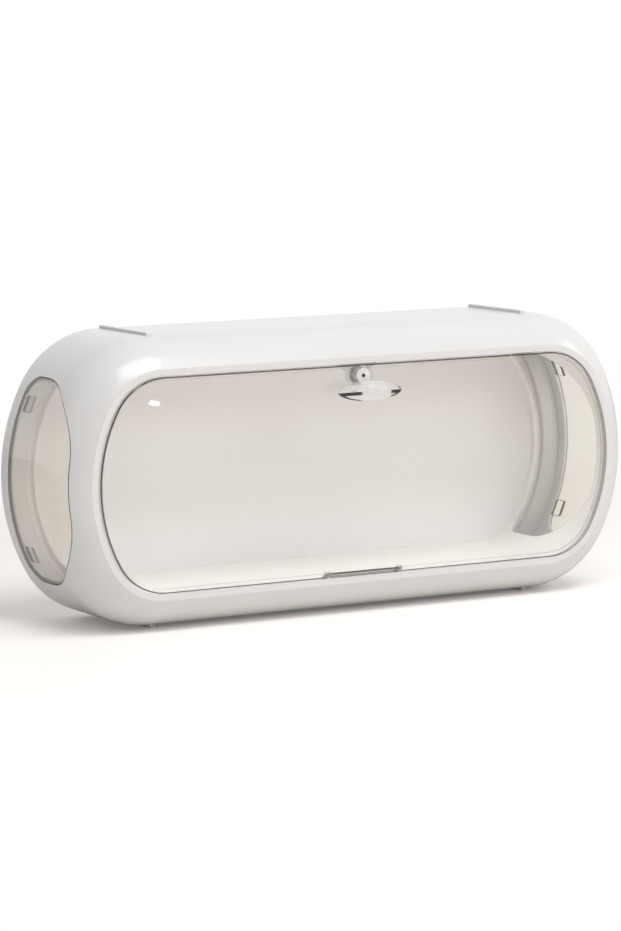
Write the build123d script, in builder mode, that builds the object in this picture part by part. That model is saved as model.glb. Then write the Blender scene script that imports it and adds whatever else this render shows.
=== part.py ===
"""Display case with rounded ends: a white moulded shell, clear curved end windows,
a clear drop-down front door on a bottom hinge and a magnet catch at its top.

Millimetres, +Z up, front towards -Y. The origin is the middle of the footprint,
on the surface that the case stands on.
"""
from build123d import *
from math import atan2, degrees
import os

os.makedirs("parts", exist_ok=True)

# overall size of the shell
case_length = 340.0
case_height = 147.5
case_depth = 80.0
end_bulge = 55.6          # how far each rounded end reaches past the straight top
corner_radius = 49.5      # where the top turns into the end
front_radius = 28.0       # big rounding from the sides to the front
rear_radius = 5.0
shell_wall = 3.2
foot_height = 1.5         # gap under the shell
knob_reach = 8.5          # how far the finger pull stands out of the door

# door and the opening that it closes
door_inset = 19.3         # from the shell's outline to the door's edge
door_gap = 0.6            # round the door
door_proud = 1.6          # door's face in front of the rim
door_face = 2.2
door_rim_depth = 4.0
door_rim_wall = 2.0
door_edge_bevel = 0.7
rim_inset = 15.4          # outer edge of the flat rim round the opening
rim_setback = 3.0         # rim's face behind the shell's front plane
collar_wall = 2.5
collar_depth = 3.5

# hinge at the bottom of the door
hinge_width = 40.0
hinge_drop = 1.3          # pin's height over the door's bottom edge
hinge_setback = 0.8       # pin's axis behind the door's face
knuckle_radius = 1.5
pin_radius = 0.7
pin_play = 0.05
ear_width = 2.0
ear_gap = 0.4
notch_play = 0.4
bracket_thick = 1.3
sill_skin = 1.0           # rim left in front of the bracket's pocket
bracket_lower = 2.3       # bracket's top under the knuckle
bracket_depth = 8.0
bracket_screw_x = 16.0
bracket_screw_back = 2.2  # screw's axis from the bracket's rear edge
hinge_block_depth = 12.0
hinge_block_height = 6.0

# magnet catch at the top of the door
boss_radius = 5.3
boss_drop = 5.6           # boss's middle under the door's top edge
boss_height = 2.6         # behind the door's wall
boss_proud = 0.9          # in front of the door's face
boss_floor = 0.5          # behind the door's magnet
magnet_radius = 4.0
magnet_thick = 1.9        # of the case's magnet
magnet_play = 0.1
cap_thick = 0.5
cap_hole_radius = 1.1
catch_gap = 0.3
tab_thick = 2.6
tab_tip_radius = 6.0
tab_top_width = 24.0
tab_flare = 4.5           # height of the flare under the rim
tab_overlap = 1.9         # how far the tab reaches up behind the collar
tab_foot_depth = 10.0
tab_foot_thick = 2.0
tab_screw_x = 8.0

# finger pull on the door
pull_half_width = 18.0
pull_half_height = 5.0
pull_ridge = 1.2          # how far the middle stands in front of the pull's edge
pull_thick = 1.6
pull_stem_half_width = 7.0
pull_stem_half_height = 1.5
pull_below_boss = 7.4

# end windows
window_width = 57.5
window_height = 104.3
window_front_corner = 38.0
window_rear_corner = 10.5
window_middle_y = -0.25
window_recess = 1.8
window_flush = 0.2        # window's face under the shell's face
window_lip = 1.8
window_play = 0.45
window_tab_length = 8.0
window_tab_height = 8.0
window_tab_thick = 1.4
window_tab_offset = 38.5  # tabs above and below the middle

# rear cover and the display room's lining
cover_inset = 6.5
cover_play = 0.3
cover_thick = 2.5
cover_setback = 1.5
flange_thick = 3.0
flange_inset = 13.0
cover_screw_x = 100.0
cover_screw_inset = 9.8
post_radius = 3.4         # screw posts inside the shell
post_length = 8.0
liner_wall = 1.5
liner_play = 0.3
end_rear_corner = 6.0     # of the opening in an end wall
rib_spacing = 60.0
rib_count = 4
rib_thick = 1.6
rib_end_gap = 4.0

# rails on the top and the underside
rail_x = 111.6
rail_width = 3.4
rail_front_gap = 23.0     # from the shell's front plane
rail_rear_gap = 4.0
rail_height = 1.5
rail_sunk = 1.0
foot_rail_height = 1.0
rail_corner = 1.2
rail_edge = 0.4
rail_fit = 0.1
pad_length = 14.0
pad_width = 2.2
pad_sunk = 0.6

# screws, head radius, head height, shank radius and length
cover_screw = (2.5, 1.6, 1.25, 9.0)
small_screw = (1.7, 1.0, 0.95, 5.0)

# places worked out from the sizes; the depth is centred with the finger pull counted in
door_step = rim_setback - door_proud
rear_y = (case_depth - door_step + knob_reach) / 2
front_y = rear_y - case_depth
case_middle_y = rear_y - case_depth / 2
bottom_z = foot_height
top_z = bottom_z + case_height
middle_z = bottom_z + case_height / 2
half_height = case_height / 2
straight_half = case_length / 2 - end_bulge
end_radius = (end_bulge**2 + half_height**2 - 2 * half_height * corner_radius) / (
    2 * (end_bulge - corner_radius)
)
end_centre_x = case_length / 2 - end_radius
end_angle = degrees(atan2(half_height - corner_radius, straight_half - end_centre_x))

rim_y = front_y + rim_setback
collar_rear_y = rim_y + collar_depth
opening_inset = door_inset - door_gap
door_front_y = front_y + door_step
door_face_rear_y = door_front_y + door_face
door_bottom_z = bottom_z + door_inset
door_top_z = top_z - door_inset
lintel_z = top_z - opening_inset

hinge_y = door_front_y + hinge_setback
hinge_z = door_bottom_z + hinge_drop
ear_inner_x = hinge_width / 2 + ear_gap
ear_outer_x = ear_inner_x + ear_width
bracket_top_z = hinge_z - knuckle_radius - bracket_lower
bracket_bottom_z = bracket_top_z - bracket_thick
pocket_front_y = rim_y + sill_skin
bracket_front_y = pocket_front_y + notch_play
bracket_rear_y = bracket_front_y + bracket_depth
bracket_screw_y = bracket_rear_y - bracket_screw_back

catch_z = door_top_z - boss_drop
boss_front_y = door_front_y - boss_proud
boss_rear_y = door_face_rear_y + boss_height
magnet_front_y = boss_front_y + cap_thick
magnet_rear_y = boss_rear_y - boss_floor - magnet_play
tab_front_y = boss_rear_y + catch_gap
tab_rear_y = tab_front_y + tab_thick
tab_top_z = lintel_z + tab_overlap
tab_foot_rear_y = tab_rear_y + tab_foot_depth
tab_screw_y = tab_rear_y + tab_foot_depth / 2
pull_z = catch_z - pull_below_boss
pull_edge_y = door_front_y - knob_reach + pull_ridge

cover_front_y = rear_y - cover_setback - cover_thick
flange_front_y = cover_front_y - flange_thick
liner_front_y = collar_rear_y + liner_play
floor_top_z = bottom_z + opening_inset
floor_bottom_z = floor_top_z - liner_wall
end_opening_front_y = case_middle_y + window_middle_y - window_width / 2 + window_lip
rail_front_y = front_y + rail_front_gap
rail_rear_y = rear_y - rail_rear_gap

cover_screw_places = [
    (x, z)
    for x in (-cover_screw_x, 0, cover_screw_x)
    for z in (bottom_z + cover_screw_inset, top_z - cover_screw_inset)
]
tab_screw_places = [(x, tab_screw_y) for x in (-tab_screw_x, tab_screw_x)]
bracket_screw_places = [(x, bracket_screw_y) for x in (-bracket_screw_x, bracket_screw_x)]
tab_foot_bottom_z = tab_top_z - tab_foot_thick


# the case's outline as seen from the front, moved inwards by an inset
def case_outline(inset):
    corner_z = half_height - corner_radius
    high_z = middle_z + half_height - inset
    low_z = middle_z - half_height + inset
    with BuildSketch() as outline:
        with BuildLine():
            Line((0, high_z), (straight_half, high_z))
            CenterArc(
                (straight_half, middle_z + corner_z), corner_radius - inset, end_angle, 90 - end_angle
            )
            CenterArc((end_centre_x, middle_z), end_radius - inset, -end_angle, 2 * end_angle)
            CenterArc((straight_half, middle_z - corner_z), corner_radius - inset, -90, 90 - end_angle)
            Line((straight_half, low_z), (0, low_z))
            mirror(about=Plane.YZ)
        make_face()
    return outline.sketch


# a slab with the case's outline, from one depth to another
def outline_slab(inset, from_y, to_y):
    with BuildPart() as slab:
        with BuildSketch(Plane.XZ.offset(-to_y)):
            add(case_outline(inset))
        extrude(amount=to_y - from_y)
    return slab.part


# the case's rounded body, moved inwards by an inset, with its flat back at a given depth
def case_body(inset, back_y):
    with BuildPart() as body:
        add(outline_slab(inset, front_y + inset, back_y))
        fillet(body.faces().sort_by(Axis.Y)[0].edges(), front_radius - inset)
    return body.part


# the shape of an end window, as a bar along the right half of the case
def window_bar(grow):
    with BuildPart() as bar:
        with BuildSketch(Plane.YZ.offset(straight_half / 2)) as shape:
            with Locations((case_middle_y + window_middle_y, middle_z)):
                Rectangle(window_width + 2 * grow, window_height + 2 * grow)
            front_corners = shape.vertices().group_by(Axis.X)[0]
            fillet(front_corners, window_front_corner + grow)
            rear_corners = shape.vertices().group_by(Axis.X)[-1]
            fillet(rear_corners, window_rear_corner + grow)
        extrude(amount=case_length / 2)
    return bar.part


# the part of a window's bar that lies between two insets of the case's body
def window_layer(grow, outer_inset, inner_inset):
    with BuildPart() as layer:
        add(window_bar(grow))
        if outer_inset is not None:
            add(case_body(outer_inset, rear_y), mode=Mode.INTERSECT)
        add(case_body(inner_inset, rear_y), mode=Mode.SUBTRACT)
    return layer.part


# the two pads inside a window, which reach into its hole
def window_pads():
    window_rear_y = case_middle_y + window_middle_y + window_width / 2
    with BuildPart() as pads:
        with BuildSketch(Plane.YZ.offset(straight_half)):
            with Locations((window_rear_y - window_lip - window_tab_length / 2, middle_z)):
                with GridLocations(1, 2 * window_tab_offset, 1, 2):
                    Rectangle(window_tab_length, window_tab_height)
        extrude(amount=end_bulge)
        add(window_bar(-window_lip - window_play), mode=Mode.INTERSECT)
        add(case_body(window_recess, rear_y), mode=Mode.INTERSECT)
        add(case_body(window_recess + window_tab_thick, rear_y), mode=Mode.SUBTRACT)
    return pads.part


# the display room's lining from one x to another
def lining(from_x, to_x):
    with BuildPart() as ring:
        add(outline_slab(opening_inset - liner_wall, liner_front_y, cover_front_y))
        add(outline_slab(opening_inset, liner_front_y, cover_front_y), mode=Mode.SUBTRACT)
        with BuildSketch(Plane.YZ.offset(from_x)):
            with Locations((case_middle_y, middle_z)):
                Rectangle(case_depth, case_height)
        extrude(amount=to_x - from_x, mode=Mode.INTERSECT)
    return ring.part


# the shell's ribs under the floor, its screw posts and the block under the hinge
def inner_fittings():
    with BuildPart() as fittings:
        with BuildSketch(Plane.XY.offset(bottom_z)):
            with Locations((0, (collar_rear_y + flange_front_y) / 2)):
                with GridLocations(rib_spacing, 1, rib_count, 1):
                    Rectangle(rib_thick, flange_front_y - collar_rear_y - 2 * rib_end_gap)
        extrude(amount=floor_bottom_z - bottom_z)
        with BuildSketch(Plane.XZ.offset(-flange_front_y)):
            with Locations(*cover_screw_places):
                Circle(post_radius)
        extrude(amount=post_length)
        with BuildSketch(Plane.XY.offset(tab_top_z)):
            with Locations(*tab_screw_places):
                Circle(post_radius)
        extrude(amount=top_z - tab_top_z)
        with BuildSketch(Plane.XY.offset(bracket_bottom_z)):
            with Locations((0, rim_y + hinge_block_depth / 2)):
                Rectangle(2 * ear_outer_x + 2 * bracket_thick, hinge_block_depth)
        extrude(amount=-hinge_block_height)
        add(case_body(shell_wall / 2, cover_front_y), mode=Mode.INTERSECT)
    return fittings.part


# a self-tapping screw with its head's underside at a place and its shank along a direction
def screw_at(place, direction, size):
    head_radius, head_height, shank_radius, length = size
    with BuildPart() as screw:
        with BuildSketch(Plane(place, z_dir=direction)):
            Circle(shank_radius)
        extrude(amount=length)
        with BuildSketch(Plane(place, z_dir=direction)):
            Circle(head_radius)
        extrude(amount=-head_height)
    return screw.part


# the cone of a sunk screw's head through the hinge's bracket
def sunk_head(x, y, shrink):
    with BuildPart() as cone:
        with BuildSketch(Plane.XY.offset(bracket_top_z)):
            with Locations((x, y)):
                Circle(small_screw[0] - shrink)
        with BuildSketch(Plane.XY.offset(bracket_bottom_z)):
            with Locations((x, y)):
                Circle(small_screw[2])
        loft()
    return cone.part


outer_body = case_body(0, rear_y)
cavity_body = case_body(shell_wall, flange_front_y)

# shell: one white moulding with its top, underside, ends and front rim
with BuildPart() as shell:
    add(outer_body)
    fillet(shell.faces().sort_by(Axis.Y)[-1].edges(), rear_radius)
    add(cavity_body, mode=Mode.SUBTRACT)
    add(outline_slab(cover_inset - cover_play, cover_front_y, rear_y), mode=Mode.SUBTRACT)
    add(outline_slab(flange_inset, flange_front_y, cover_front_y), mode=Mode.SUBTRACT)
    # collar round the opening
    add(outline_slab(opening_inset - collar_wall, rim_y, collar_rear_y))
    add(outline_slab(rim_inset, front_y, rim_y), mode=Mode.SUBTRACT)
    add(outline_slab(opening_inset, front_y, collar_rear_y + shell_wall), mode=Mode.SUBTRACT)
    add(inner_fittings())
    # pocket for the hinge's bracket, behind a thin front skin
    with BuildSketch(Plane.XY.offset(bracket_bottom_z)):
        with Locations((0, (pocket_front_y + bracket_rear_y + notch_play) / 2)):
            Rectangle(
                2 * (ear_outer_x + notch_play), bracket_rear_y + notch_play - pocket_front_y
            )
    extrude(amount=door_inset, mode=Mode.SUBTRACT)
    # pilot holes
    with BuildSketch(Plane.XZ.offset(-cover_front_y)):
        with Locations(*cover_screw_places):
            Circle(cover_screw[2])
    extrude(amount=cover_screw[3], mode=Mode.SUBTRACT)
    with BuildSketch(Plane.XY.offset(tab_top_z)):
        with Locations(*tab_screw_places):
            Circle(small_screw[2])
    extrude(amount=small_screw[3], mode=Mode.SUBTRACT)
    with BuildSketch(Plane.XY.offset(bracket_bottom_z)):
        with Locations(*bracket_screw_places):
            Circle(small_screw[2])
    extrude(amount=-small_screw[3], mode=Mode.SUBTRACT)
    # window holes with a step that the windows sit on
    for side_cut in (window_layer(window_play, None, window_recess), window_bar(-window_lip)):
        add(side_cut, mode=Mode.SUBTRACT)
        add(mirror(side_cut, about=Plane.YZ, mode=Mode.PRIVATE), mode=Mode.SUBTRACT)
    # seats for the rails
    for seat_z in (bottom_z, top_z - rail_sunk):
        with BuildSketch(Plane.XY.offset(seat_z)):
            with Locations((0, (rail_front_y + rail_rear_y) / 2)):
                with GridLocations(2 * rail_x, 1, 2, 1):
                    RectangleRounded(
                        rail_width + 2 * rail_fit,
                        rail_rear_y - rail_front_y + 2 * rail_fit,
                        rail_corner + rail_fit,
                    )
        extrude(amount=rail_sunk, mode=Mode.SUBTRACT)
shell.part.label = "shell"
export_step(shell.part, "parts/shell.step")

# rear cover, let into the shell's back, with its six screws
with BuildPart() as rear_cover:
    add(outline_slab(cover_inset, cover_front_y, cover_front_y + cover_thick))
    with BuildSketch(Plane.XZ.offset(-(cover_front_y + cover_thick))):
        with Locations(*cover_screw_places):
            Circle(cover_screw[2])
    extrude(amount=cover_thick, mode=Mode.SUBTRACT)
    with BuildSketch(Plane.XZ.offset(-(cover_front_y + cover_thick))):
        with Locations(*cover_screw_places):
            Circle(cover_screw[0] + notch_play)
    extrude(amount=cover_screw[1], mode=Mode.SUBTRACT)
rear_cover.part.label = "rear_cover"
export_step(rear_cover.part, "parts/rear_cover.step")

with BuildPart() as cover_screws:
    for screw_x, screw_z in cover_screw_places:
        head_y = cover_front_y + cover_thick - cover_screw[1]
        add(screw_at((screw_x, head_y, screw_z), (0, -1, 0), cover_screw))
cover_screws.part.label = "cover_screws"
export_step(cover_screws.part, "parts/cover_screws.step")

# display room: a floor on the ribs, a ceiling, and between them two bent end walls
with BuildPart() as floor_panel:
    add(lining(-straight_half, straight_half))
    split(bisect_by=Plane.XY.offset(middle_z), keep=Keep.BOTTOM)
floor_panel.part.label = "floor_panel"
export_step(floor_panel.part, "parts/floor_panel.step")

with BuildPart() as ceiling_panel:
    add(lining(-straight_half, straight_half))
    split(bisect_by=Plane.XY.offset(middle_z), keep=Keep.TOP)
    # room for the catch tab's foot
    with BuildSketch(Plane.XY.offset(middle_z)):
        with Locations((0, (liner_front_y + tab_foot_rear_y + notch_play) / 2)):
            Rectangle(
                tab_top_width + 2 * notch_play, tab_foot_rear_y + notch_play - liner_front_y
            )
    extrude(amount=half_height, mode=Mode.SUBTRACT)
ceiling_panel.part.label = "ceiling_panel"
export_step(ceiling_panel.part, "parts/ceiling_panel.step")

with BuildPart() as right_end_wall:
    add(lining(straight_half, case_length / 2))
    with BuildSketch(Plane.YZ.offset(straight_half)) as end_opening:
        with Locations(((end_opening_front_y + flange_front_y) / 2, middle_z)):
            Rectangle(flange_front_y - end_opening_front_y, window_height - 2 * window_lip)
        front_corners = end_opening.vertices().group_by(Axis.X)[0]
        fillet(front_corners, window_front_corner - window_lip)
        rear_corners = end_opening.vertices().group_by(Axis.X)[-1]
        fillet(rear_corners, end_rear_corner)
    extrude(amount=end_bulge, mode=Mode.SUBTRACT)
right_end_wall.part.label = "right_end_wall"
export_step(right_end_wall.part, "parts/right_end_wall.step")

with BuildPart() as left_end_wall:
    add(mirror(right_end_wall.part, about=Plane.YZ, mode=Mode.PRIVATE))
left_end_wall.part.label = "left_end_wall"
export_step(left_end_wall.part, "parts/left_end_wall.step")

# end windows: clear, bent round the end, with two pads inside that reach into the hole
with BuildPart() as right_window:
    add(window_layer(0, window_flush, window_recess))
    add(window_pads())
right_window.part.label = "right_window"
export_step(right_window.part, "parts/right_window.step")

with BuildPart() as left_window:
    add(mirror(right_window.part, about=Plane.YZ, mode=Mode.PRIVATE))
left_window.part.label = "left_window"
export_step(left_window.part, "parts/left_window.step")

# door: a shallow clear tray, open to the rear, with the magnet's boss and the hinge's knuckle
with BuildPart() as door_panel:
    add(outline_slab(door_inset, door_front_y, door_front_y + door_rim_depth))
    chamfer(door_panel.faces().sort_by(Axis.Y)[0].edges(), door_edge_bevel)
    add(
        outline_slab(door_inset + door_rim_wall, door_face_rear_y, door_front_y + door_rim_depth),
        mode=Mode.SUBTRACT,
    )
    with BuildSketch(Plane.XZ.offset(-boss_rear_y)):
        with Locations((0, catch_z)):
            Circle(boss_radius)
    extrude(amount=boss_rear_y - boss_front_y)
    with BuildSketch(Plane.XZ.offset(-(boss_rear_y - boss_floor))):
        with Locations((0, catch_z)):
            Circle(magnet_radius + magnet_play)
    extrude(amount=boss_rear_y - boss_floor - boss_front_y, mode=Mode.SUBTRACT)
    # notches for the bracket's ears, then the knuckle between them
    for ear_side in (-1, 1):
        with BuildSketch(Plane.XZ.offset(-(door_front_y + door_rim_depth))):
            with Locations((ear_side * (ear_inner_x + ear_outer_x) / 2, door_bottom_z)):
                Rectangle(ear_width + 2 * ear_gap, 2 * (hinge_drop + knuckle_radius + notch_play))
        extrude(amount=2 * door_rim_depth, mode=Mode.SUBTRACT)
    with BuildSketch(Plane.YZ.offset(-hinge_width / 2)):
        with Locations((hinge_y, hinge_z)):
            Circle(knuckle_radius)
    extrude(amount=hinge_width)
    with BuildSketch(Plane.YZ.offset(-hinge_width / 2)):
        with Locations((hinge_y, hinge_z)):
            Circle(pin_radius + pin_play)
    extrude(amount=hinge_width, mode=Mode.SUBTRACT)
door_panel.part.label = "door_panel"
export_step(door_panel.part, "parts/door_panel.step")

with BuildPart() as door_magnet:
    with BuildSketch(Plane.XZ.offset(-magnet_rear_y)):
        with Locations((0, catch_z)):
            Circle(magnet_radius)
    extrude(amount=magnet_rear_y - magnet_front_y)
door_magnet.part.label = "door_magnet"
export_step(door_magnet.part, "parts/door_magnet.step")

# thin washer that closes the magnet's pocket
with BuildPart() as magnet_cap:
    with BuildSketch(Plane.XZ.offset(-magnet_front_y)):
        with Locations((0, catch_z)):
            Circle(magnet_radius)
            Circle(cap_hole_radius, mode=Mode.SUBTRACT)
    extrude(amount=cap_thick)
magnet_cap.part.label = "magnet_cap"
export_step(magnet_cap.part, "parts/magnet_cap.step")

# finger pull: a thin oval plate, ridged across its middle, on a narrower stem
with BuildPart() as finger_pull:
    with BuildSketch(Plane.YZ.offset(-pull_half_width)):
        with BuildLine():
            Polyline(
                (pull_edge_y, pull_z - pull_half_height),
                (pull_edge_y - pull_ridge, pull_z),
                (pull_edge_y, pull_z + pull_half_height),
                (pull_edge_y + pull_thick, pull_z + pull_half_height),
                (pull_edge_y + pull_thick, pull_z - pull_half_height),
                close=True,
            )
        make_face()
    extrude(amount=2 * pull_half_width)
    with BuildSketch(Plane.XZ.offset(-door_front_y)):
        with Locations((0, pull_z)):
            Ellipse(pull_half_width, pull_half_height)
    extrude(amount=knob_reach, mode=Mode.INTERSECT)
    with BuildSketch(Plane.XZ.offset(-door_front_y)):
        with Locations((0, pull_z)):
            Ellipse(pull_stem_half_width, pull_stem_half_height)
    extrude(amount=door_front_y - pull_edge_y)
finger_pull.part.label = "finger_pull"
export_step(finger_pull.part, "parts/finger_pull.step")

# tab that hangs from the rim behind the door and holds the case's magnet
with BuildPart() as catch_tab:
    with BuildSketch(Plane.XZ.offset(-tab_rear_y)):
        with Locations((0, catch_z)):
            Circle(tab_tip_radius)
        with BuildLine():
            Polyline(
                (-tab_tip_radius, catch_z),
                (-tab_tip_radius, lintel_z - tab_flare),
                (-tab_top_width / 2, lintel_z),
                (-tab_top_width / 2, tab_top_z),
                (tab_top_width / 2, tab_top_z),
                (tab_top_width / 2, lintel_z),
                (tab_tip_radius, lintel_z - tab_flare),
                (tab_tip_radius, catch_z),
                close=True,
            )
        make_face()
    extrude(amount=tab_thick)
    with BuildSketch(Plane.XY.offset(tab_top_z)):
        with Locations((0, (tab_rear_y + tab_foot_rear_y) / 2)):
            Rectangle(tab_top_width, tab_foot_depth)
    extrude(amount=-tab_foot_thick)
    with BuildSketch(Plane.XY.offset(tab_top_z)):
        with Locations(*tab_screw_places):
            Circle(small_screw[2])
    extrude(amount=-tab_foot_thick, mode=Mode.SUBTRACT)
    with BuildSketch(Plane.XZ.offset(-tab_front_y)):
        with Locations((0, catch_z)):
            Circle(magnet_radius + magnet_play)
    extrude(amount=-magnet_thick, mode=Mode.SUBTRACT)
catch_tab.part.label = "catch_tab"
export_step(catch_tab.part, "parts/catch_tab.step")

with BuildPart() as case_magnet:
    with BuildSketch(Plane.XZ.offset(-tab_front_y)):
        with Locations((0, catch_z)):
            Circle(magnet_radius)
    extrude(amount=-magnet_thick)
case_magnet.part.label = "case_magnet"
export_step(case_magnet.part, "parts/case_magnet.step")

with BuildPart() as tab_screws:
    for screw_x, screw_y in tab_screw_places:
        add(screw_at((screw_x, screw_y, tab_foot_bottom_z), (0, 0, 1), small_screw))
tab_screws.part.label = "tab_screws"
export_step(tab_screws.part, "parts/tab_screws.step")

# hinge bracket: a strip behind the sill with an ear at each end, held by two sunk screws
with BuildPart() as hinge_bracket:
    with BuildSketch(Plane.XY.offset(bracket_bottom_z)):
        with Locations((0, (bracket_front_y + bracket_rear_y) / 2)):
            Rectangle(2 * ear_outer_x, bracket_depth)
    extrude(amount=bracket_thick)
    for ear_x in (-ear_outer_x, ear_inner_x):
        with BuildSketch(Plane.YZ.offset(ear_x)):
            with BuildLine():
                Polyline(
                    (hinge_y, hinge_z - knuckle_radius),
                    (bracket_front_y, hinge_z - knuckle_radius),
                    (bracket_front_y, bracket_bottom_z),
                    (collar_rear_y, bracket_bottom_z),
                    (collar_rear_y, hinge_z - knuckle_radius),
                    (hinge_y, hinge_z + knuckle_radius),
                    close=True,
                )
            make_face()
            with Locations((hinge_y, hinge_z)):
                Circle(knuckle_radius)
                Circle(pin_radius, mode=Mode.SUBTRACT)
        extrude(amount=ear_width)
    for screw_x, screw_y in bracket_screw_places:
        add(sunk_head(screw_x, screw_y, 0), mode=Mode.SUBTRACT)
hinge_bracket.part.label = "hinge_bracket"
export_step(hinge_bracket.part, "parts/hinge_bracket.step")

with BuildPart() as hinge_screws:
    for screw_x, screw_y in bracket_screw_places:
        add(sunk_head(screw_x, screw_y, pin_play))
        with BuildSketch(Plane((screw_x, screw_y, bracket_bottom_z), z_dir=(0, 0, -1))):
            Circle(small_screw[2])
        extrude(amount=small_screw[3])
hinge_screws.part.label = "hinge_screws"
export_step(hinge_screws.part, "parts/hinge_screws.step")

with BuildPart() as hinge_pin:
    with BuildSketch(Plane.YZ.offset(-ear_outer_x)):
        with Locations((hinge_y, hinge_z)):
            Circle(pin_radius)
    extrude(amount=2 * ear_outer_x)
hinge_pin.part.label = "hinge_pin"
export_step(hinge_pin.part, "parts/hinge_pin.step")


# a rail from front to rear, let into the shell
def rail_block(side, low_z, high_z):
    with BuildPart() as block:
        with BuildSketch(Plane.XY.offset(low_z)):
            with Locations((side * rail_x, (rail_front_y + rail_rear_y) / 2)):
                RectangleRounded(rail_width, rail_rear_y - rail_front_y, rail_corner)
        extrude(amount=high_z - low_z)
    return block.part


# the stretches of a foot rail that its two pads fill
def pad_blocks(side, play):
    with BuildPart() as blocks:
        with BuildSketch(Plane.XY):
            with Locations((side * rail_x, (rail_front_y + rail_rear_y) / 2)):
                with GridLocations(1, rail_rear_y - rail_front_y - 2 * pad_length, 1, 2):
                    Rectangle(pad_width + 2 * play, pad_length + 2 * play)
        extrude(amount=foot_height - foot_rail_height + pad_sunk)
    return blocks.part


for rail_side, side_name in ((-1, "left"), (1, "right")):
    with BuildPart() as top_rail:
        add(rail_block(rail_side, top_z - rail_sunk, top_z + rail_height))
        fillet(top_rail.faces().sort_by(Axis.Z)[-1].edges(), rail_edge)
    top_rail.part.label = side_name + "_top_rail"
    export_step(top_rail.part, "parts/" + side_name + "_top_rail.step")

    with BuildPart() as foot_rail:
        add(rail_block(rail_side, bottom_z - foot_rail_height, bottom_z + rail_sunk))
        add(pad_blocks(rail_side, 0), mode=Mode.SUBTRACT)
    foot_rail.part.label = side_name + "_foot_rail"
    export_step(foot_rail.part, "parts/" + side_name + "_foot_rail.step")

# four soft pads under the foot rails
with BuildPart() as foot_pads:
    add(pad_blocks(-1, 0))
    add(pad_blocks(1, 0))
foot_pads.part.label = "foot_pads"
export_step(foot_pads.part, "parts/foot_pads.step")
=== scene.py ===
import bpy
import bmesh
from math import cos, radians, sin
from mathutils import Matrix, Vector


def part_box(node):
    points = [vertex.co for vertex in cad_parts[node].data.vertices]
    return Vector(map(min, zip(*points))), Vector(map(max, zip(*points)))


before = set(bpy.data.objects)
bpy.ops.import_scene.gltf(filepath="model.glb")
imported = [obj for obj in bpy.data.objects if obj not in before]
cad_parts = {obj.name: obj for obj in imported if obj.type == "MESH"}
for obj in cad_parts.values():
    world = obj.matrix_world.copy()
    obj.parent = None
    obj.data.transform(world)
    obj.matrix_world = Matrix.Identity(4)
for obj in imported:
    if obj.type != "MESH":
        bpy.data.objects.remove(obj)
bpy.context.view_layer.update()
print("frame loaded:", len(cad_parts), "nodes")

white = (1, 1, 1, 1)


# node helpers

def addNode(tree, kind, place=(0, 0), **inputs):
    node = tree.nodes.new(kind)
    node.location = place
    for name, value in inputs.items():
        node.inputs[name.replace("_", " ")].default_value = value
    return node


def addMath(tree, operation, place, kind="ShaderNodeMath"):
    node = addNode(tree, kind, place)
    node.operation = operation
    return node


def addRange(tree, place, fromMin=0.0, fromMax=1.0, toMin=0.0, toMax=1.0):
    return addNode(
        tree, "ShaderNodeMapRange", place,
        From_Min=fromMin, From_Max=fromMax, To_Min=toMin, To_Max=toMax,
    )


# each link is a node, its output, the next node and the input there
def wire(tree, *links):
    for source, output, target, name in links:
        tree.links.new(source.outputs[output], target.inputs[name])


# distance from a middle as the front shows it, in shares of span
def addReach(tree, coord, middle, span, place):
    centred = addNode(tree, "ShaderNodeMapping", place)
    centred.inputs["Scale"].default_value = (1 / span.x, 0, 1 / span.z)
    centred.inputs["Location"].default_value = (-middle.x / span.x, 0, -middle.z / span.z)
    reach = addMath(tree, "LENGTH", (place[0] + 200, place[1]), "ShaderNodeVectorMath")
    wire(tree, (coord, "Object", centred, "Vector"), (centred, "Vector", reach, 0))
    return reach


def newTree(name):
    mat = bpy.data.materials.new(name)
    mat.use_nodes = True
    tree = mat.node_tree
    tree.nodes.clear()
    out = addNode(tree, "ShaderNodeOutputMaterial", (700, 0))
    return mat, tree, out


# very faint drifts of tint and gloss on a moulded plastic skin, and its fine pimples
skinNoise = {
    "tint": dict(Scale=14.0, Detail=3.0, Roughness=0.5),
    "pimple": dict(Scale=900.0, Detail=1.0, Roughness=0.5),
    "gloss": dict(Scale=9.0, Detail=1.0, Roughness=0.4),
}
skinTint = dict(fromMin=0.1, fromMax=0.9)
skinSockets = (
    ("Colour", "INPUT", "NodeSocketColor"),
    ("Tint", "INPUT", "NodeSocketFloat"),
    ("Rough Low", "INPUT", "NodeSocketFloat"),
    ("Rough High", "INPUT", "NodeSocketFloat"),
    ("Colour", "OUTPUT", "NodeSocketColor"),
    ("Roughness", "OUTPUT", "NodeSocketFloat"),
    ("Height", "OUTPUT", "NodeSocketFloat"),
)


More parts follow.
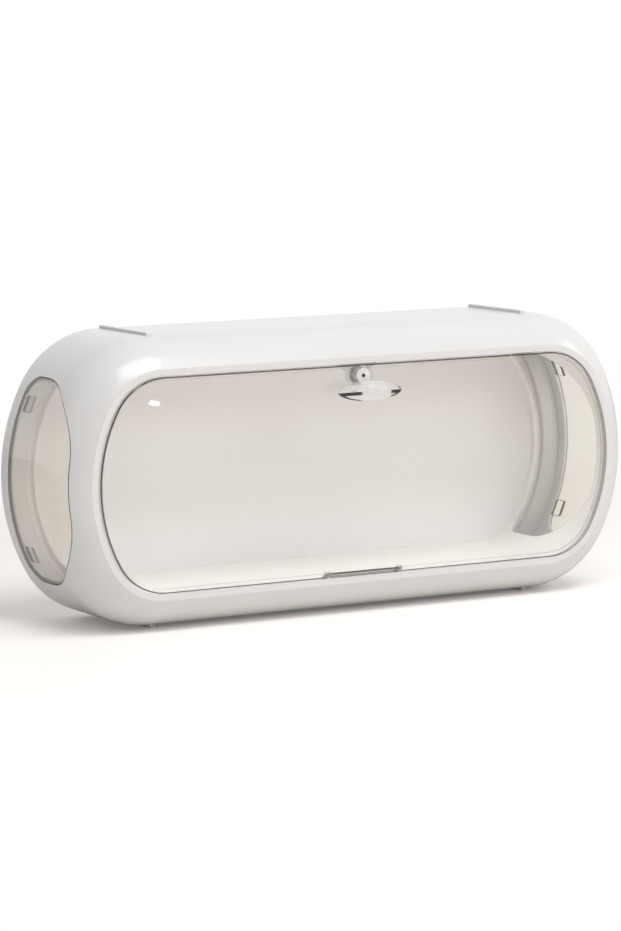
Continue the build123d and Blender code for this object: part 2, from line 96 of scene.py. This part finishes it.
def makeMouldedSkin():
    grp = bpy.data.node_groups.new("mouldedSkin", "ShaderNodeTree")
    for name, side, kind in skinSockets:
        grp.interface.new_socket(name, in_out=side, socket_type=kind)
    gin = addNode(grp, "NodeGroupInput", (-900, 400))
    gout = addNode(grp, "NodeGroupOutput", (100, 0))
    coord = addNode(grp, "ShaderNodeTexCoord", (-900, 0))
    noise = {}
    for row, (name, spec) in enumerate(skinNoise.items()):
        noise[name] = addNode(grp, "ShaderNodeTexNoise", (-700, 200 - 300 * row), **spec)
        wire(grp, (coord, "Object", noise[name], "Vector"))
    shade = addRange(grp, (-450, 200), **skinTint)
    tinted = addMath(grp, "SCALE", (-200, 200), "ShaderNodeVectorMath")
    rough = addRange(grp, (-200, -300))
    wire(
        grp,
        (noise["tint"], "Fac", shade, "Value"),
        (gin, "Tint", shade, "To Min"),
        (gin, "Colour", tinted, 0),
        (shade, "Result", tinted, "Scale"),
        (noise["gloss"], "Fac", rough, "Value"),
        (gin, "Rough Low", rough, "To Min"),
        (gin, "Rough High", rough, "To Max"),
        (tinted, "Vector", gout, "Colour"),
        (rough, "Result", gout, "Roughness"),
        (noise["pimple"], "Fac", gout, "Height"),
    )
    return grp


mouldedSkin = makeMouldedSkin()


def addSkin(tree, colour, tint, rough):
    skin = addNode(tree, "ShaderNodeGroup", (-600, 0))
    skin.node_tree = mouldedSkin
    skin.inputs["Colour"].default_value = colour
    skin.inputs["Tint"].default_value = tint
    skin.inputs["Rough Low"].default_value, skin.inputs["Rough High"].default_value = rough
    return skin


# moulded plastic, rubber and metal finishes: a white piece's last number is how dark the painted
# shade in its crevices goes
finishes = {
    "shellWhite": dict(
        colour=(0.70, 0.69, 0.68, 1), tint=0.985, rough=(0.22, 0.28), bump=0.006, coat=0.15,
        paintedNookShade=0.35,
    ),
    "railWhite": dict(
        colour=(0.72, 0.71, 0.70, 1), tint=0.985, rough=(0.24, 0.32), bump=0.006, coat=0.1,
        paintedNookShade=0.35,
    ),
    "coverWhite": dict(
        colour=(0.935, 0.915, 0.92, 1), tint=0.985, rough=(0.40, 0.48), bump=0.006, coat=0.0,
        paintedNookShade=0.35,
    ),
    "linerWhite": dict(
        colour=(0.945, 0.925, 0.918, 1), tint=0.99, rough=(0.28, 0.36), bump=0.006, coat=0.0,
        paintedNookShade=0.35,
    ),
    # the foot pads' dark rubber is their own colour and also stands in as painted shade for the
    # dark line where the foot rails meet the floor
    "padRubberAndShade": dict(
        colour=(0.30, 0.29, 0.285, 1), tint=0.93, rough=(0.62, 0.80), bump=0.08, coat=0.0,
    ),
    "screwSteel": dict(
        colour=(0.55, 0.55, 0.56, 1), tint=0.92, rough=(0.24, 0.42), bump=0.03, coat=0.0,
        metal=1.0,
    ),
    "magnetNickel": dict(
        colour=(0.93, 0.92, 0.915, 1), tint=0.98, rough=(0.24, 0.34), bump=0.01, coat=0.2,
        metal=0.15,
    ),
}
# painted shade in crevices: how far it looks, its samples, and the occlusion range over which it
# fades out
paintedCreviceShade = dict(reach=0.0022, samples=8, fadeFrom=0.10, fadeTo=0.55)
moulding = dict(ior=1.5, coatRoughness=0.08, pimpleHeight=0.0004)


def makeFinish(name, spec):
    mat, tree, out = newTree(name)
    skin = addSkin(tree, spec["colour"], spec["tint"], spec["rough"])
    # painted shade: an occlusion node darkens the base colour in crevices and gaps
    paintedNookShade = addNode(tree, "ShaderNodeAmbientOcclusion", (-600, 300), Distance=paintedCreviceShade["reach"])
    paintedNookShade.samples = paintedCreviceShade["samples"]
    paintedNookShade.only_local = True  # clear pieces close by would darken it
    shade = addRange(
        tree, (-400, 300), paintedCreviceShade["fadeFrom"], paintedCreviceShade["fadeTo"], spec.get("paintedNookShade", 1.0)
    )
    dimmed = addMath(tree, "SCALE", (-150, 100), "ShaderNodeVectorMath")
    bump = addNode(
        tree, "ShaderNodeBump", (0, -300),
        Strength=spec["bump"], Distance=moulding["pimpleHeight"],
    )
    bsdf = addNode(
        tree, "ShaderNodeBsdfPrincipled", (300, 0),
        Metallic=spec.get("metal", 0.0), IOR=moulding["ior"],
        Coat_Weight=spec["coat"], Coat_Roughness=moulding["coatRoughness"],
    )
    wire(
        tree,
        (paintedNookShade, "AO", shade, "Value"),
        (skin, "Colour", dimmed, 0),
        (shade, "Result", dimmed, "Scale"),
        (dimmed, "Vector", bsdf, "Base Color"),
        (skin, "Roughness", bsdf, "Roughness"),
        (skin, "Height", bump, "Height"),
        (bump, "Normal", bsdf, "Normal"),
        (bsdf, "BSDF", out, "Surface"),
    )
    return mat


# the door's magnet, with a dark disc of painted shade on its face where it shows through the hole
# in its cap
paintedBoreShade = dict(radius=0.0010, blur=0.0003, paintedShade=(0.03, 0.028, 0.027, 1))


def makeNickelBoreShade():
    mat = makeFinish("nickelBoreShade", finishes["magnetNickel"])
    tree = mat.node_tree
    low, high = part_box("door_magnet")
    coord = addNode(tree, "ShaderNodeTexCoord", (-1000, 700))
    reach = addReach(tree, coord, (low + high) / 2, Vector((1, 1, 1)), (-800, 700))
    # painted shade: a dark disc of the given radius, soft at its rim
    ring = addRange(tree, (-400, 700), paintedBoreShade["radius"], paintedBoreShade["radius"] + paintedBoreShade["blur"])
    shadeToned = addNode(tree, "ShaderNodeMix", (100, 500))
    shadeToned.data_type = "RGBA"  # its colours are inputs 6 and 7 and output 2
    shadeToned.inputs[6].default_value = paintedBoreShade["paintedShade"]
    bsdf = next(node for node in tree.nodes if node.type == "BSDF_PRINCIPLED")
    tree.links.new(bsdf.inputs["Base Color"].links[0].from_socket, shadeToned.inputs[7])
    wire(
        tree,
        (reach, "Value", ring, "Value"),
        (ring, "Result", shadeToned, "Factor"),
        (shadeToned, 2, bsdf, "Base Color"),
    )
    return mat


# clear plastics, as thin sheets: veil is the share of milky white in them, and the edge stops
# give painted shade, the tones of a sheet's cut edge, bevel and face, which face more and more
# along one axis
clears = {
    "clearDoor": dict(
        colour=(0.995, 0.992, 0.993, 1), rough=0.01, veil=0.02, sheen=0.04, faces="Y",
        edge=((0.0, 0.80), (0.45, 0.80), (0.62, 0.20), (0.80, 0.20), (0.93, 1.0)),
    ),
    "clearWindow": dict(
        colour=(0.985, 0.965, 0.945, 1), rough=0.02, veil=0.16, sheen=0.03, faces="X",
        edge=((0.0, 0.07), (0.30, 0.07), (0.42, 1.0)),
    ),
    "clearTab": dict(
        colour=(0.985, 0.98, 0.975, 1), rough=0.05, veil=0.46, sheen=0.08, faces="Y",
        edge=((0.0, 0.85), (0.5, 0.85), (0.9, 1.0)),
    ),
    "clearBracket": dict(
        colour=(0.97, 0.955, 0.95, 1), rough=0.04, veil=0.08, sheen=0.16, faces="Y",
        edge=((0.0, 0.70), (0.5, 0.70), (0.9, 0.96)),
    ),
}
sheetLook = dict(
    tint=0.995, roughSpread=2, edgeBlue=0.985, steepness=4.0, sheenAtEdge=0.75,
    milkRoughness=0.4, milkIor=1.3,
)


def makeClear(name, spec):
    mat, tree, out = newTree(name)
    rough = (spec["rough"], spec["rough"] * sheetLook["roughSpread"])
    skin = addSkin(tree, spec["colour"], sheetLook["tint"], rough)
    coord = addNode(tree, "ShaderNodeTexCoord", (-1200, -300))
    facing = addNode(tree, "ShaderNodeSeparateXYZ", (-1000, -300))
    size = addMath(tree, "ABSOLUTE", (-900, -300))
    largest = addMath(tree, "MAXIMUM", (-750, -300))  # edges that face the back stay clear
    # painted shade: the sheet's colour darkens by which way its surface faces, giving dark lines
    # at bevels and edges
    edgeShadeRamp = addNode(tree, "ShaderNodeValToRGB", (-600, -300))
    stops = edgeShadeRamp.color_ramp.elements
    for number, (place, level) in enumerate(spec["edge"]):
        stop = stops[number] if number < 2 else stops.new(place)
        stop.position = place
        stop.color = (level, level, level * sheetLook["edgeBlue"], 1)
    shadeToned = addMath(tree, "MULTIPLY", (-250, 0), "ShaderNodeVectorMath")
    angle = addNode(tree, "ShaderNodeLayerWeight", (-800, 400), Blend=0.5)
    steep = addMath(tree, "POWER", (-600, 400))
    steep.inputs[1].default_value = sheetLook["steepness"]
    mirrored = addRange(
        tree, (-400, 400), toMin=spec["sheen"], toMax=sheetLook["sheenAtEdge"]
    )
    clear = addNode(tree, "ShaderNodeBsdfTransparent", (0, 100))
    milk = addNode(
        tree, "ShaderNodeBsdfPrincipled", (0, -150),
        Roughness=sheetLook["milkRoughness"], IOR=sheetLook["milkIor"],
    )
    gloss = addNode(tree, "ShaderNodeBsdfGlossy", (250, 300))
    body = addNode(tree, "ShaderNodeMixShader", (300, 0), Fac=spec["veil"])
    sheet = addNode(tree, "ShaderNodeMixShader", (500, 0))
    path = addNode(tree, "ShaderNodeLightPath", (250, 700))
    letThrough = addNode(tree, "ShaderNodeBsdfTransparent", (250, -400), Color=white)
    lit = addNode(tree, "ShaderNodeMixShader", (600, 100))  # a clear sheet throws no shadow
    wire(
        tree,
        (coord, "Normal", facing, "Vector"),
        (facing, spec["faces"], size, 0),
        (size, 0, largest, 0),
        (facing, "Y", largest, 1),
        (largest, 0, edgeShadeRamp, "Fac"),
        (skin, "Colour", shadeToned, 0),
        (edgeShadeRamp, "Color", shadeToned, 1),
        (shadeToned, "Vector", clear, "Color"),
        (shadeToned, "Vector", milk, "Base Color"),
        (skin, "Roughness", gloss, "Roughness"),
        (angle, "Facing", steep, 0),
        (steep, 0, mirrored, "Value"),
        (clear, "BSDF", body, 1),
        (milk, "BSDF", body, 2),
        (mirrored, "Result", sheet, "Fac"),
        (body, "Shader", sheet, 1),
        (gloss, "BSDF", sheet, 2),
        (path, "Is Shadow Ray", lit, "Fac"),
        (sheet, "Shader", lit, 1),
        (letThrough, "BSDF", lit, 2),
        (lit, "Shader", out, "Surface"),
    )
    return mat


# the pull is a bright clear lens with painted shade on its lower facet, darker towards its two
# ends,
# along its rim and in a band: left and right are along X, rim is a share of the oval, band is a
# height over its middle, and under is how far a face has to look down
pullLook = dict(
    leftFrom=-0.0045, leftTo=-0.0060, rightFrom=0.0115, rightTo=0.0125,
    rimFrom=0.88, rimTo=0.93, bandFrom=-0.0020, bandTo=-0.0016,
    underFrom=-0.10, underTo=-0.20, clear=0.62, unbent=(0.99, 0.99, 0.99, 1),
    white=(0.97, 0.965, 0.96, 1), lensRoughness=0.03, lensIor=1.3, lensGlass=0.5,
    shadePaint=(0.02, 0.016, 0.015, 1), shadePaintRoughness=0.04, shadePaintIor=1.5,
)


def makePullClear():
    mat, tree, out = newTree("clearPull")
    low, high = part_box("finger_pull")
    middle, span = (low + high) / 2, (high - low) / 2
    coord = addNode(tree, "ShaderNodeTexCoord", (-1200, 0))
    spot = addNode(tree, "ShaderNodeSeparateXYZ", (-1000, 100))
    facing = addNode(tree, "ShaderNodeSeparateXYZ", (-1000, -200))
    leftEnd = addRange(tree, (-800, 100), pullLook["leftFrom"], pullLook["leftTo"])
    rightEnd = addRange(tree, (-800, 300), pullLook["rightFrom"], pullLook["rightTo"])
    under = addRange(tree, (-600, -200), pullLook["underFrom"], pullLook["underTo"])
    oval = addReach(tree, coord, middle, span, (-1000, 500))
    rim = addRange(tree, (-600, 500), pullLook["rimFrom"], pullLook["rimTo"])
    band = addRange(
        tree, (-600, 700), middle.z + pullLook["bandFrom"], middle.z + pullLook["bandTo"]
    )
    ends = addMath(tree, "MAXIMUM", (-600, 100))
    patch = addMath(tree, "MAXIMUM", (-400, 500))
    paintedShade = addMath(tree, "MULTIPLY", (-350, 0))
    paintedShadePatch = addMath(tree, "MULTIPLY", (-150, 100))
    lens = addNode(
        tree, "ShaderNodeBsdfPrincipled", (0, -300),
        Base_Color=pullLook["white"], Roughness=pullLook["lensRoughness"],
        IOR=pullLook["lensIor"], Transmission_Weight=pullLook["lensGlass"],
    )
    unbent = addNode(tree, "ShaderNodeBsdfTransparent", (0, -600), Color=pullLook["unbent"])
    bright = addNode(tree, "ShaderNodeMixShader", (250, -300), Fac=pullLook["clear"])
    # painted shade: a near black gloss laid over the lens where the masks above meet
    shadePaint = addNode(
        tree, "ShaderNodeBsdfPrincipled", (0, 200),
        Base_Color=pullLook["shadePaint"], Roughness=pullLook["shadePaintRoughness"], IOR=pullLook["shadePaintIor"],
    )
    blend = addNode(tree, "ShaderNodeMixShader", (450, 0))
    wire(
        tree,
        (coord, "Object", spot, "Vector"),
        (coord, "Normal", facing, "Vector"),
        (oval, "Value", rim, "Value"),
        (spot, "Z", band, "Value"),
        (rim, "Result", patch, 0),
        (band, "Result", patch, 1),
        (spot, "X", leftEnd, "Value"),
        (spot, "X", rightEnd, "Value"),
        (leftEnd, "Result", ends, 0),
        (rightEnd, "Result", ends, 1),
        (facing, "Z", under, "Value"),
        (ends, 0, paintedShade, 0),
        (under, "Result", paintedShade, 1),
        (paintedShade, 0, paintedShadePatch, 0),
        (patch, 0, paintedShadePatch, 1),
        (paintedShadePatch, 0, blend, "Fac"),
        (lens, "BSDF", bright, 1),
        (unbent, "BSDF", bright, 2),
        (bright, "Shader", blend, 1),
        (shadePaint, "BSDF", blend, 2),
        (blend, "Shader", out, "Surface"),
    )
    return mat


materials = {name: makeFinish(name, spec) for name, spec in finishes.items()}
materials.update({name: makeClear(name, spec) for name, spec in clears.items()})
materials["clearPull"] = makePullClear()
materials["nickelBoreShade"] = makeNickelBoreShade()
print("materials made:", len(materials))

finishedNodes = {
    "shellWhite": ["shell"],
    "coverWhite": ["rear_cover"],
    "linerWhite": ["floor_panel", "ceiling_panel", "left_end_wall", "right_end_wall"],
    "railWhite": ["left_top_rail", "right_top_rail", "left_foot_rail", "right_foot_rail"],
    "padRubberAndShade": ["foot_pads"],
    "screwSteel": ["cover_screws", "tab_screws", "hinge_screws"],
    "magnetNickel": ["case_magnet"],
    "nickelBoreShade": ["door_magnet"],
    "clearDoor": ["door_panel"],
    "clearWindow": ["left_window", "right_window"],
    "clearTab": ["magnet_cap", "catch_tab"],
    "clearPull": ["finger_pull"],
    "clearBracket": ["hinge_bracket", "hinge_pin"],
}
for finishName, nodeNames in finishedNodes.items():
    for nodeName in nodeNames:
        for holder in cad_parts[nodeName].material_slots:
            holder.material = materials[finishName]
print("finishes put on the frame's nodes")


# the floor fades to pure white with distance, and lift is a little light of its own by which
# its colour comes out as pale as in the photo without more light on the case
floorLook = dict(
    size=6.0, colour=(0.92, 0.882, 0.85, 1), roughness=0.6, specular=0.2, lift=0.13,
    fadeFrom=0.28, fadeTo=0.75,
)


def makeFloor():
    mesh = bpy.data.meshes.new("floor")
    floor = bpy.data.objects.new("floor", mesh)
    bpy.context.collection.objects.link(floor)
    bm = bmesh.new()
    bmesh.ops.create_grid(bm, x_segments=1, y_segments=1, size=floorLook["size"])
    bm.to_mesh(mesh)
    bm.free()
    mat, tree, out = newTree("paleFloor")
    near = addNode(
        tree, "ShaderNodeBsdfPrincipled", (0, 200),
        Base_Color=floorLook["colour"], Roughness=floorLook["roughness"],
        Specular_IOR_Level=floorLook["specular"], Emission_Color=white,
    )
    far = addNode(tree, "ShaderNodeEmission", (0, -300), Color=white, Strength=1.0)
    path = addNode(tree, "ShaderNodeLightPath", (-700, 300))
    seen = addMath(tree, "MAXIMUM", (-450, 300))
    lift = addMath(tree, "MULTIPLY", (-250, 300))
    lift.inputs[1].default_value = floorLook["lift"]
    coord = addNode(tree, "ShaderNodeTexCoord", (-900, -200))
    reach = addMath(tree, "LENGTH", (-700, -200), "ShaderNodeVectorMath")
    fade = addRange(tree, (-450, -200), floorLook["fadeFrom"], floorLook["fadeTo"])
    fade.interpolation_type = "SMOOTHSTEP"
    fadeSeen = addMath(tree, "MULTIPLY", (-250, -100))
    blend = addNode(tree, "ShaderNodeMixShader", (400, 0))
    wire(
        tree,
        (path, "Is Camera Ray", seen, 0),
        (path, "Is Transmission Ray", seen, 1),
        (seen, 0, lift, 0),
        (lift, 0, near, "Emission Strength"),
        (coord, "Object", reach, 0),
        (reach, "Value", fade, "Value"),
        (fade, "Result", fadeSeen, 0),
        (seen, 0, fadeSeen, 1),
        (fadeSeen, 0, blend, "Fac"),
        (near, "BSDF", blend, 1),
        (far, "Emission", blend, 2),
        (blend, "Shader", out, "Surface"),
    )
    mesh.materials.append(mat)


# light from the world: by the height of a direction for soft light, and for mirrored and
# bent rays by how far it points behind the case, where sheen is what they show
skyLook = dict(
    heightFrom=-0.2, heightTo=0.7, groundLight=0.40, skyLight=0.46,
    backFrom=-0.55, backTo=0.15, frontSheen=0.14, backSheen=1.0,
)


def makeWorld():
    world = bpy.data.worlds.new("studio")
    bpy.context.scene.world = world
    world.use_nodes = True
    tree = world.node_tree
    tree.nodes.clear()
    out = addNode(tree, "ShaderNodeOutputWorld", (900, 0))
    coord = addNode(tree, "ShaderNodeTexCoord", (-700, 0))
    split = addNode(tree, "ShaderNodeSeparateXYZ", (-500, 0))
    behind = addRange(
        tree, (-300, 0),
        skyLook["backFrom"], skyLook["backTo"], skyLook["frontSheen"], skyLook["backSheen"],
    )
    height = addRange(
        tree, (-300, -300),
        skyLook["heightFrom"], skyLook["heightTo"], skyLook["groundLight"], skyLook["skyLight"],
    )
    path = addNode(tree, "ShaderNodeLightPath", (-300, 400))
    soft = addNode(tree, "ShaderNodeBackground", (300, -200), Color=white)
    sheen = addNode(tree, "ShaderNodeBackground", (300, 0), Color=white)
    backdrop = addNode(tree, "ShaderNodeBackground", (300, 200), Color=white, Strength=1.0)
    clearRay = addMath(tree, "MAXIMUM", (0, 300))
    unseen = addNode(tree, "ShaderNodeMixShader", (500, 0))
    whole = addNode(tree, "ShaderNodeMixShader", (700, 0))
    wire(
        tree,
        (coord, "Generated", split, "Vector"),
        (split, "Y", behind, "Value"),
        (split, "Z", height, "Value"),
        (height, "Result", soft, "Strength"),
        (behind, "Result", sheen, "Strength"),
        (path, "Is Glossy Ray", clearRay, 0),
        (path, "Is Transmission Ray", clearRay, 1),
        (clearRay, 0, unseen, "Fac"),
        (soft, "Background", unseen, 1),
        (sheen, "Background", unseen, 2),
        (path, "Is Camera Ray", whole, "Fac"),
        (unseen, "Shader", whole, 1),
        (backdrop, "Background", whole, 2),
        (whole, "Shader", out, "Surface"),
    )


lamps = {
    "topLamp": dict(place=(0.05, -0.72, 1.30), aim=(0.0, 0.0, 0.08), size=(1.0, 0.7), watts=12.0),
    "frontLamp": dict(place=(0.3, -1.7, 0.8), aim=(0.0, 0.0, 0.07), size=(0.7, 0.5), watts=5.5),
    "rightLamp": dict(place=(1.5, -0.6, 0.9), aim=(0.1, 0.0, 0.07), size=(0.5, 0.5), watts=3.0),
    "glintLamp": dict(  # the small highlight at the top left of the door
        place=(0.32, -0.885, 0.0145), aim=(-0.12, -0.035, 0.12), size=(0.006, 0.003),
        watts=0.0016, shape="ELLIPSE",
    ),
}


def makeLamps():
    for name, spec in lamps.items():
        light = bpy.data.lights.new(name, "AREA")
        light.shape = spec.get("shape", "RECTANGLE")
        light.size, light.size_y = spec["size"]
        light.energy = spec["watts"]
        lamp = bpy.data.objects.new(name, light)
        bpy.context.collection.objects.link(lamp)
        lamp.location = spec["place"]
        toward = Vector(spec["aim"]) - Vector(spec["place"])
        lamp.rotation_euler = toward.to_track_quat("-Z", "Y").to_euler()


# camera at the photograph's angle: angles in degrees, focal length in the photo's pixels,
# sensor in millimetres and the rest in metres
shot = dict(
    azimuth=-29.645, elevation=7.057, roll=-0.555, focalPx=3865.4, heightPx=931, sensor=36.0,
    distance=2.0185, slide=-0.00815, aimHeight=0.0737, middleY=0.00355, clipEnd=50.0,
)


def makeCamera():
    az, el, roll = (radians(shot[k]) for k in ("azimuth", "elevation", "roll"))
    back = Vector((sin(az) * cos(el), -cos(az) * cos(el), sin(el)))
    right = Vector((cos(az), sin(az), 0))
    up = back.cross(right)
    turnedRight = right * cos(roll) + up * sin(roll)
    turnedUp = up * cos(roll) - right * sin(roll)
    target = right * shot["slide"] + Vector((0, shot["middleY"], shot["aimHeight"]))
    data = bpy.data.cameras.new("camera")
    data.sensor_width = shot["sensor"]
    data.lens = shot["focalPx"] * shot["sensor"] / shot["heightPx"]
    data.clip_end = shot["clipEnd"]
    camera = bpy.data.objects.new("camera", data)
    bpy.context.collection.objects.link(camera)
    spot = target + back * shot["distance"]
    turn = Matrix((turnedRight, turnedUp, back)).transposed().to_4x4()
    camera.matrix_world = Matrix.Translation(spot) @ turn
    bpy.context.scene.camera = camera


makeFloor()
makeWorld()
makeLamps()
makeCamera()
bpy.context.scene.view_settings.view_transform = "Standard"
print("stage, lamps and camera set")
